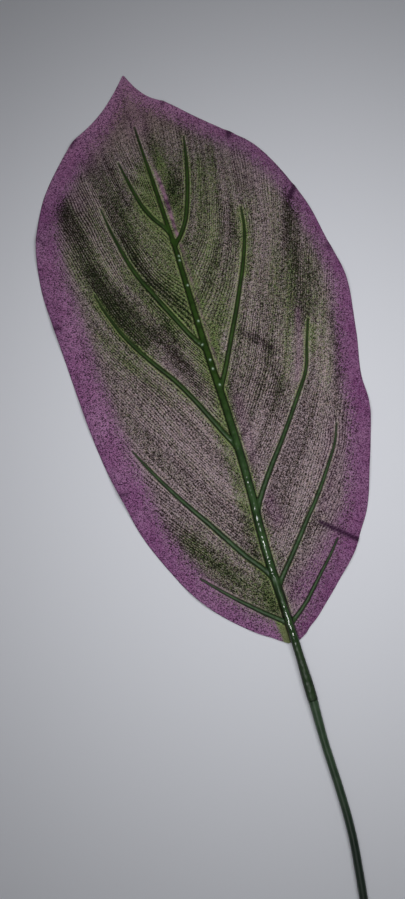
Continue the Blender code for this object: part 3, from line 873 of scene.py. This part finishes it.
# %% Sweep a bar along a line
def sweep(rings, closed_on_itself=False):
    """Vertices and faces of a bar through rings, with flat ends or closed on itself."""
    count, corners = len(rings), len(rings[0])
    faces = []
    for j in range(count if closed_on_itself else count - 1):
        here, ahead = j * corners, (j + 1) % count * corners
        faces += [(here + k, here + (k + 1) % corners, ahead + (k + 1) % corners, ahead + k)
                  for k in range(corners)]
    if not closed_on_itself:
        faces += [tuple(range(corners))[::-1], tuple(range((count - 1) * corners, count * corners))]
    return np.concatenate(rings), faces


def directions(line):
    """The unit direction of a line at each of its points."""
    step = np.gradient(line, axis=0)
    return step / np.linalg.norm(step, axis=1)[:, None]


print("a bar of two square rings has", len(sweep([np.zeros((4, 3))] * 2)[1]), "faces")

# %% [markdown]
# ## A bar for each rib
# A real rib is flat below, where it is glued, and arched above. It narrows towards its end and widens where
# it leaves the midrib. The melting takes a little off every width, so that much is added beforehand.

# %% Bars of the ribs
CLOTH_TOP, SIDE_RIB_RISE = 1.1, 0.05  # where the flat bottoms of the ribs are
RIB_HEIGHT, RIB_SHOULDER, RIB_CORNERS = 0.6, 0.8, 15
WEB_WIDENING, WEB_REACH = 0.9, 2.2  # a side rib's root is wider, over so many millimetres
MIDRIB_LOSS, SIDE_RIB_LOSS, LOSS_FADE = 0.5, 0.2, 1.5  # what the smoothing takes, and how it fades to the end


def rib_bar(line, widths, bottom, root_widening, melt_loss):
    """A flat-bottomed bar with an arched top, widened at its root."""
    run = np.concatenate([[0], np.cumsum(np.linalg.norm(np.diff(line, axis=0), axis=1))])
    wide = widths * (1 + root_widening * np.exp(-run / WEB_REACH))
    wide = wide + melt_loss * (1 - np.linspace(0, 1, len(line)) ** LOSS_FADE)
    turn = np.linspace(0, math.pi, RIB_CORNERS)
    rings = []
    for (px, py), (dx, dy), width, full in zip(line, directions(line), widths, wide):
        sideways = 0.5 * full * np.cos(turn)
        up = bottom + RIB_HEIGHT * width * np.maximum(0, np.sin(turn)) ** RIB_SHOULDER
        rings.append(np.column_stack([px + dy * sideways, py - dx * sideways, up]))
    return sweep(rings)


rib_bars = [rib_bar(*rib_lines["midrib"], CLOTH_TOP, 0, MIDRIB_LOSS)]
for name in SIDE_RIBS:
    rib_bars.append(rib_bar(*rib_lines[name], CLOTH_TOP + SIDE_RIB_RISE, WEB_WIDENING, SIDE_RIB_LOSS))
print("rib bars:", len(rib_bars))

# %% [markdown]
# ## The line of the stalk and the stem
# The stalk, its socket, the stem and the wire all follow one gently bent line, so it is written once. It
# comes down from the midrib's height to the floor. Round rings about it make the stalk, its socket and the
# stem.

# %% Centre line and rings
CENTRE_LINE = [  # y, x, z
    (-236, -22.5, 2.15), (-210, -18, 2.15), (-180, -12.9, 2.15), (-150, -8, 2.15), (-126, -4.3, 2.15),
    (-114, -2.6, 2.15), (-102, -1.1, 2.15), (-90, -0.35, 2.15), (-78, -0.25, 2.15), (-54, -0.7, 2.3),
    (-33, -0.25, 2.8), (-14, -0.2, 3.25), (0, -0.3, 3.6), (24, -0.6, 2.9), (48, -1.1, 2.0),
]
ROUND_CORNERS = 24


def centre_line(low, high, spacing):
    """Points of the stalk's and stem's common centre line between two places along the leaf."""
    py = np.linspace(low, high, max(2, round(abs(high - low) / spacing) + 1))
    px = smooth_value([(knot_y, knot_x) for knot_y, knot_x, _ in CENTRE_LINE], py)
    pz = smooth_value([(knot_y, knot_z) for knot_y, _, knot_z in CENTRE_LINE], py)
    return np.column_stack([px, py, pz])


def round_rings(line, radii):
    """Round rings about a line, one for each of its points, with +Y kept as the way they face."""
    turn = np.linspace(0, 2 * math.pi, ROUND_CORNERS, endpoint=False)
    rings = []
    for point, direction, radius in zip(line, directions(line), radii):
        direction = direction * np.sign(direction[1])
        sideways = np.cross(direction, (0, 0, 1))
        sideways /= np.linalg.norm(sideways)
        up = np.cross(sideways, direction)
        rings.append(point + radius * (np.outer(np.cos(turn), sideways) + np.outer(np.sin(turn), up)))
    return rings


print("centre line:", len(CENTRE_LINE), "knots, from", CENTRE_LINE[0][0], "to", CENTRE_LINE[-1][0], "mm")

# %% [markdown]
# ## The hollow stalk
# The stalk is a tube at its mouth, where the stem plugs in, and solid above. A boolean cut could hollow it,
# with one more solid as the cutter. Here one sweep does it: the rings start at the bottom of the socket,
# run out to the mouth, turn over its rim and go back up the outside.

# %% The stalk
STALK_RADII = [(-33, 2.7), (-24, 2.65), (-18, 2.45), (-12, 2.25), (0, 2.2), (20, 1.6), (40, 0.8)]  # y, radius
STALK_MOUTH, STALK_END, SOCKET_DEPTH, SOCKET_RADIUS = -33.0, 40.0, 16.0, 1.8
RING_SPACING = 1.5
bore = centre_line(STALK_MOUTH + SOCKET_DEPTH, STALK_MOUTH, RING_SPACING)
skin = centre_line(STALK_MOUTH, STALK_END, RING_SPACING)
stalk_rings = round_rings(bore, np.full(len(bore), SOCKET_RADIUS))
stalk_rings += round_rings(skin, smooth_value(STALK_RADII, skin[:, 1]))
rib_bars.append(sweep(stalk_rings))
print("stalk:", len(stalk_rings), "rings, the first", len(bore), "of them in the socket")

# %% [markdown]
# ## Melt the bars into one moulding
# A voxel remesh wraps one skin round all the bars, and a few rounds of smoothing draw soft webs into the
# forks. Union cuts would join the bars too, but leave every seam as sharp as before.

# %% Melt the bars
MELT_VOXEL, MELT_SMOOTHING = 0.3, 5  # size in mm, rounds


def join_bars(name, bars):
    """One mesh, in metres, of several bars in millimetres, with its faces turned outwards."""
    vertices, faces, counted = [], [], 0
    for bar_vertices, bar_faces in bars:
        vertices.append(bar_vertices)
        faces += [tuple(counted + k for k in face) for face in bar_faces]
        counted += len(bar_vertices)
    mesh = bpy.data.meshes.new(name)
    mesh.from_pydata(np.concatenate(vertices) * MM, [], faces)
    shape = bmesh.new()
    shape.from_mesh(mesh)
    bmesh.ops.recalc_face_normals(shape, faces=shape.faces)
    shape.to_mesh(mesh)
    shape.free()
    return mesh


def settled(piece):
    """The mesh of a piece with its modifiers carried out."""
    made = bpy.data.meshes.new_from_object(piece.evaluated_get(bpy.context.evaluated_depsgraph_get()))
    piece.modifiers.clear()
    return made


bars_mesh = join_bars("rib_frame_moulding", rib_bars)
moulding = bpy.data.objects.new("rib_frame_moulding", bars_mesh)
bpy.context.scene.collection.objects.link(moulding)
melt = moulding.modifiers.new("melt", "REMESH")
melt.mode, melt.voxel_size = "VOXEL", MELT_VOXEL * MM
soften = moulding.modifiers.new("soften", "SMOOTH")
soften.factor, soften.iterations = 0.5, MELT_SMOOTHING
moulding_mesh = settled(moulding)
bpy.data.objects.remove(moulding, do_unlink=True)
moulding_mesh.name = "rib_frame_moulding"
moulding_mesh.shade_smooth()
print("moulding:", len(bars_mesh.polygons), "faces of bars,", len(moulding_mesh.polygons), "faces melted")

# %% [markdown]
# ## An uneven surface
# A cheap moulding isn't smooth: its top is a little wavy, and small pips stand on the midrib. Both move the
# vertices, because a bump map would leave the ribs' outlines straight. The same cell stores how steep each
# spot is, where the pips are, and which stretches are polished.

# %% Roughen the moulding
PIPS = [
    (-0.3, 226.1), (-0.7, 223.2), (-0.4, 206.4), (-0.4, 183.1), (-2.2, 168.6), (-0.4, 158.4), (-0.4, 152.8),
    (0.8, 142.6),
]
POLISH = [  # y, polish
    (-34, 0.2), (-6, 0.3), (0, 1), (15, 1), (19, 0.3), (30, 0.3), (34, 1), (51, 1), (60, 0.8),
]
POLISH_REACH = 3.5 * MM  # from x = 0, so only the midrib and the stalk get it
ROUGH_HEIGHT, ROUGH_LENGTH = 0.2, 1.6
PIP_HEIGHT, PIP_RADIUS = 0.25, 0.5

spots = np.empty(len(moulding_mesh.vertices) * 3)
moulding_mesh.vertices.foreach_get("co", spots)
facing = np.empty(len(spots))
moulding_mesh.vertices.foreach_get("normal", facing)
spots, facing = spots.reshape(-1, 3), facing.reshape(-1, 3)
rough = np.array([noise.noise(Vector(spot) / (ROUGH_LENGTH * MM)) for spot in spots]) * ROUGH_HEIGHT
pip_gaps = [np.hypot(spots[:, 0] / MM - px, spots[:, 1] / MM - py) for px, py in PIPS]
pip = np.max([np.exp(-(gap / PIP_RADIUS) ** 2) for gap in pip_gaps], axis=0)
polish = np.interp(spots[:, 1] / MM, *zip(*POLISH)) * np.exp(-((spots[:, 0] / POLISH_REACH) ** 4))
store(moulding_mesh, steepness=1 - facing[:, 2], pip=pip, polish=polish)
spots = spots + facing * np.clip(facing[:, 2:], 0, 1) * (rough + PIP_HEIGHT * pip)[:, None] * MM
moulding_mesh.vertices.foreach_set("co", spots.ravel())
print("pips:", len(PIPS), "of", PIP_HEIGHT, "mm")

# %% [markdown]
# ## Colour of the ribs
# The plastic is dark green and a little clouded. Its lower half is painted greyer as a painted sheen, and the
# stalk is painted darker, painted shade that takes back part of the lamps' sheen on it. Where a rib turns away
# from the light its flank goes almost black, so the steepness stored above darkens it as painted shade, and
# the pips are painted pale as painted glints.

# %% Colour of the ribs
SHEEN_PART, STALK_SHADE_PART = (0.08, 0.16), (-0.012, 0.004)  # places along the leaf, in metres
RIB_DARK, RIB_DARK_SHEENED, RIB_LIGHT, RIB_LIGHT_SHEENED = (
    linear(34, 55, 17), linear(38, 61, 32), linear(48, 74, 25), linear(56, 82, 46))
STALK_SHADE_GREEN, FLANK_SHADE, PIP_PAINTED_GLINT = linear(20, 34, 16), linear(16, 24, 8), linear(190, 215, 188)

plastic, plastic_shader = new_finish("moulded_plastic", 0.17)
plastic_places = surface_places(plastic)
cloudiness = clouds(plastic, plastic_places, 220.0, 3.0)
height_along = add_node(plastic, "ShaderNodeSeparateXYZ", {0: plastic_places}).outputs["Y"]
# Painted sheen: the lower part of the moulding gets greyer, bluer greens.
sheened_part = ramp(plastic, height_along, *SHEEN_PART, 1.0, 0.0)
dark_green = blend_colours(plastic, sheened_part, RIB_DARK, RIB_DARK_SHEENED)
light_green = blend_colours(plastic, sheened_part, RIB_LIGHT, RIB_LIGHT_SHEENED)
rib_green = lay_over(
    plastic, dark_green, (ramp(plastic, cloudiness, 0.3, 0.7), light_green),
    # painted shade on the stalk, offsetting the lamps' sheen there
    (ramp(plastic, height_along, *STALK_SHADE_PART, 0.5, 0.0), STALK_SHADE_GREEN),
    (ramp(plastic, read_attribute(plastic, "steepness"), 0.04, 0.6, 0.0, 0.9), FLANK_SHADE),
    # painted glints on the pips
    (read_attribute(plastic, "pip"), PIP_PAINTED_GLINT))
plug(plastic, rib_green, plastic_shader, "Base Color")
print("rib plastic:", len(plastic.node_tree.nodes), "nodes")

# %% [markdown]
# ## Gloss of the ribs
# The midrib shines only in stretches. The stored polish sets the roughness along it. The fine skin has far
# more faces than it needs, so a Decimate modifier keeps half of them.

# %% Gloss, and the moulding put in
ROUGHNESS = (0.50, 0.15)  # unpolished, polished
MELT_KEPT = 0.5  # share of the faces kept
roughness = ramp(plastic, read_attribute(plastic, "polish"), 0.0, 1.0, *ROUGHNESS)
plug(plastic, roughness, plastic_shader, "Roughness")
plastic_shader.inputs["Specular IOR Level"].default_value = 0.4
add_bump(plastic, plastic_shader, cloudiness, 0.3, 0.05 * MM)
moulding = new_piece("rib_frame_moulding", moulding_mesh, plastic, "rib_frame")
moulding.modifiers.new("thin", "DECIMATE").ratio = MELT_KEPT
print("ribs:", moulding.name)

# %% [markdown]
# ## The stem
# The stem is a plastic tube drawn over a wire. It swells a little at the stalk's mouth and goes on inside
# it as a thinner peg, which is all that holds a real leaf on its stem. One closed sweep makes it: rings run
# up the outside, step in for the peg, turn round at its end and come back down as the bore for the wire.

# %% Shape of the stem
CUT_END, PEG_SHOULDER, PEG_LENGTH, PEG_STEP = -236.0, -33.3, 15.0, 0.1
PEG_RADIUS, BORE_RADIUS, STEM_SPACING = 1.45, 1.0, 2.5
STEM_RADII = [(CUT_END, 2.1), (-52, 2.1), (-40, 2.3), (PEG_SHOULDER, 2.5)]
SHARP_FROM = math.radians(40)

tube = centre_line(CUT_END, PEG_SHOULDER, STEM_SPACING)
peg = centre_line(PEG_SHOULDER + PEG_STEP, PEG_SHOULDER + PEG_LENGTH, STEM_SPACING)
way_back = centre_line(PEG_SHOULDER + PEG_LENGTH, CUT_END, STEM_SPACING)
stem_rings = round_rings(tube, np.interp(tube[:, 1], *zip(*STEM_RADII)))
stem_rings += round_rings(peg, np.full(len(peg), PEG_RADIUS))
stem_rings += round_rings(way_back, np.full(len(way_back), BORE_RADIUS))
stem_mesh = join_bars("stem_tube", [sweep(stem_rings, closed_on_itself=True)])
stem_mesh.shade_smooth()
stem_mesh.set_sharp_from_angle(angle=SHARP_FROM)
print("stem:", len(stem_rings), "rings")

# %% [markdown]
# ## The stem's coat
# The coat is duller than the moulded ribs and clouded. Towards the stalk's mouth it is painted lighter, a
# painted sheen, and its lower stretch keeps the darker colour. One noise serves three ends, the colour, the
# roughness and the bump, so that a dull patch is also a dark one, as on real plastic.

# %% Coat of the stem
# The lighter stretch of the coat is a painted sheen.
SHEEN_FADE_ALONG = (-0.11, -0.05)  # where the dark stretch turns into the light one, in metres
COAT_PAINTED_SHEEN, COAT_DARK = (linear(44, 64, 44), linear(57, 79, 55)), (linear(20, 33, 25), linear(29, 43, 33))

coat, coat_shader = new_finish("stem_coat", 0.45)
coat_places = surface_places(coat)
coat_along = add_node(coat, "ShaderNodeSeparateXYZ", {0: coat_places}).outputs["Y"]
coat_clouds = clouds(coat, coat_places, 180.0, 4.0)
coat_share = ramp(coat, coat_clouds, 0.3, 0.7)
coat_dark, coat_sheen = (blend_colours(coat, coat_share, *pair) for pair in (COAT_DARK, COAT_PAINTED_SHEEN))
# Painted sheen: the stem's colour turns lighter towards the stalk's mouth.
coat_colour = blend_colours(coat, ramp(coat, coat_along, *SHEEN_FADE_ALONG), coat_dark, coat_sheen)
plug(coat, coat_colour, coat_shader, "Base Color")
plug(coat, ramp(coat, coat_clouds, 0.3, 0.7, 0.28, 0.42), coat_shader, "Roughness")
add_bump(coat, coat_shader, coat_clouds, 0.5, 0.1 * MM)
stem = new_piece("stem_tube", stem_mesh, coat, "stem")
print("stem coat:", len(coat.node_tree.nodes), "nodes")

# %% [markdown]
# ## The wire
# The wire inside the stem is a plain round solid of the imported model, and its shape is right, so it stays.
# It only gets a better finish: bare drawn steel, whose fine scratches run along the wire. A noise that is
# squeezed across the wire and stretched along it gives such scratches, for the colour, the roughness and
# the bump together.

# %% Brushed steel for the wire
SCRATCH_SCALE = (6000.0, 150.0, 6000.0)
STEEL_DARK, STEEL_LIGHT = linear(150, 148, 145), linear(188, 186, 183)

steel, steel_shader = new_finish("drawn_steel", 0.35)
steel_shader.inputs["Metallic"].default_value = 1.0
stretched = add_node(steel, "ShaderNodeMapping", {"Vector": surface_places(steel), "Scale": SCRATCH_SCALE})
scratches = clouds(steel, stretched.outputs[0], 1.0, 3.0)
steel_colour = blend_colours(steel, ramp(steel, scratches, 0.3, 0.7), STEEL_DARK, STEEL_LIGHT)
plug(steel, steel_colour, steel_shader, "Base Color")
plug(steel, ramp(steel, scratches, 0.3, 0.7, 0.28, 0.45), steel_shader, "Roughness")
add_bump(steel, steel_shader, scratches, 0.4, 0.02 * MM)
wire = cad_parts["stem_wire"]
for material_slot in wire.material_slots:
    material_slot.material = steel
print("wire:", len(wire.material_slots), "material slot in", steel.name)
